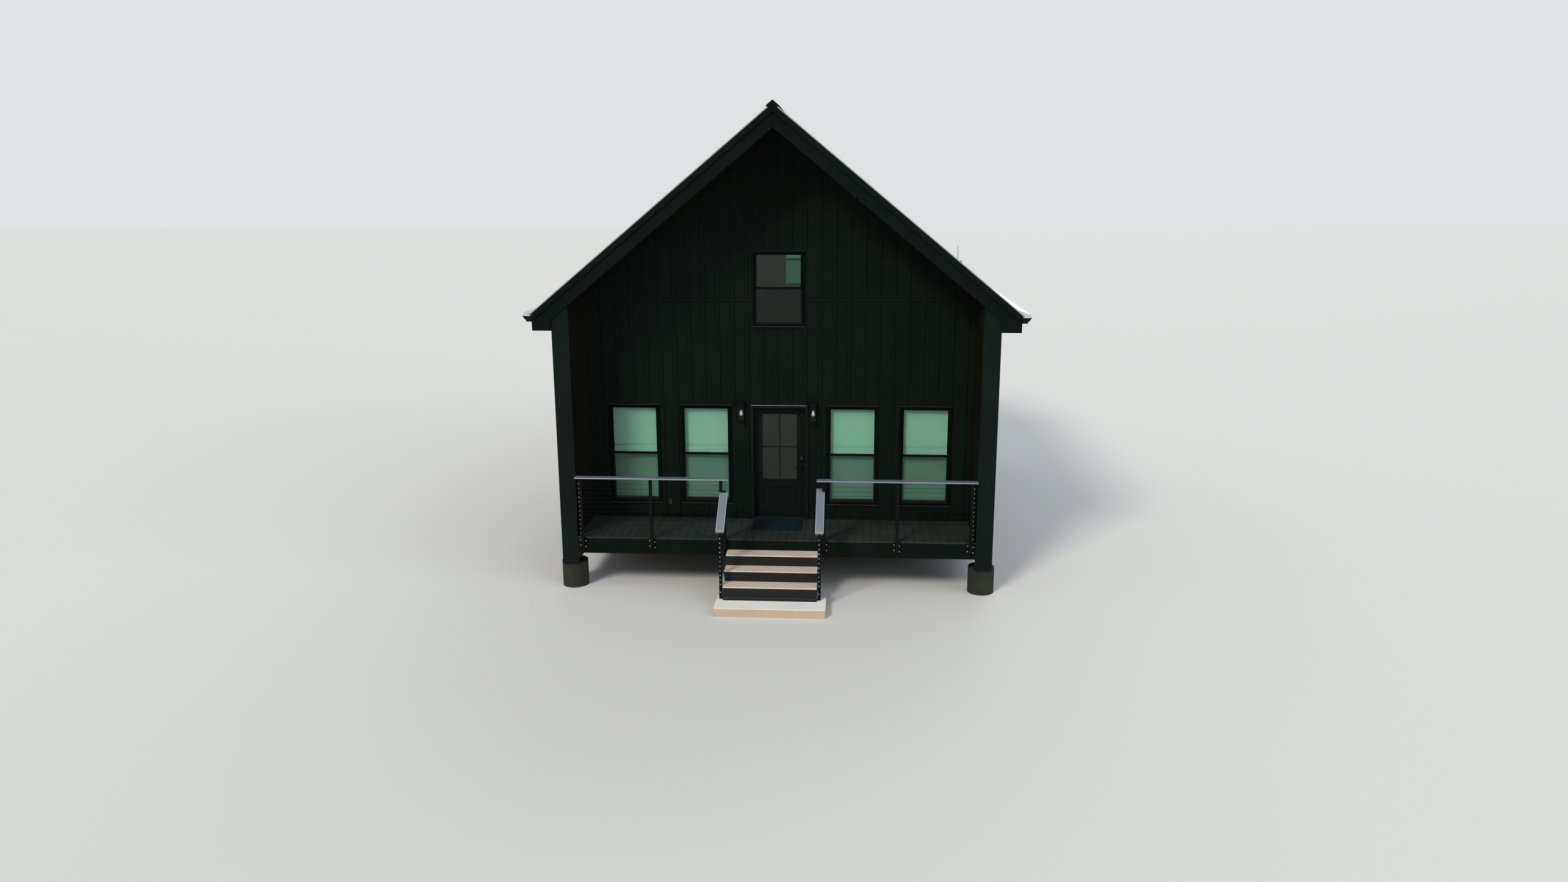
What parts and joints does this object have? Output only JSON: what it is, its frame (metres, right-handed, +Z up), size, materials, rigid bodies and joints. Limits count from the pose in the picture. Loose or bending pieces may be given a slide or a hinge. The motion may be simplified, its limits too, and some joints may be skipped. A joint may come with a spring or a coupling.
{
  "type": "gable cabin",
  "caption": "Steep-roofed timber cabin on round piers, with a recessed porch, cable guard rails, front steps, tall windows and a glazed door that swings in.",
  "frame": {"origin": "on the ground plane, under the middle of the bounding box", "axes": "+Z up, +Y from the porch to the back of the cabin, +X to the right seen from the porch front"},
  "size_m": [8.324, 10.967, 8.1502],
  "materials": {
    "concrete": "cast, matt",
    "lumber": "rough sawn",
    "floor_boards": "satin",
    "deck_boards": "weathered, matt",
    "siding": "painted, satin",
    "porch_siding": "stained, matt",
    "trim": "painted, satin",
    "roof_frame": "rough sawn",
    "shingles": "mineral granules, matt",
    "gutter_metal": "satin",
    "guard_metal": "brushed",
    "window_frames": "satin",
    "glass": "clear",
    "blinds": "matt",
    "door_paint": "satin",
    "steel": "brushed",
    "black_metal": "powder coated",
    "rail_caps": "satin",
    "stair_paint": "painted, matt",
    "tread_boards": "weathered, matt",
    "pipe_plastic": "satin",
    "mat": "short pile"
  },
  "bodies": {
    "cabin": {"piers": "concrete", "beams": "lumber", "floor_joists": "lumber", "floor": "floor_boards", "deck": "deck_boards", "rim_board": "deck_boards", "front_wall_left": "siding", "front_wall_right": "siding", "front_wall_head": "siding", "front_gable": "siding", "back_wall": "siding", "back_gable": "siding", "side_wall_left": "siding", "side_wall_right": "siding", "porch_walls": "porch_siding", "corner_boards": "trim", "upper_floor": "floor_boards", "roof_left": "roof_frame", "roof_right": "roof_frame", "roofing": "shingles", "ridge_vent": "shingles", "rake_boards": "trim", "eave_boxes": "trim", "gutters": "gutter_metal", "gutter_guards": "guard_metal", "window_frames_front": "window_frames", "window_frames_sides": "window_frames", "window_frames_back": "window_frames", "window_glass": "glass", "blinds": "blinds", "door_frame": "door_paint", "threshold": "steel", "frame_hinges": "steel", "lanterns": "black_metal", "lantern_glass": "glass", "rail_posts": "black_metal", "rail_caps": "rail_caps", "rail_cables": "steel", "stair_frame": "stair_paint", "stair_treads": "tread_boards", "stair_pad": "concrete", "vent_pipe": "pipe_plastic", "door_mat": "mat"},
    "door": {"door_leaf": "door_paint", "door_glass": "glass", "door_hardware": "steel", "door_hinges": "steel"}
  },
  "joints": [
    {"name": "door_hinge", "type": "hinge", "parent": "cabin", "child": "door", "pos_m": [-0.46, -2.9125, 1.986], "axis": [0, 0, 1], "range_deg": [0, 110]}
  ]
}
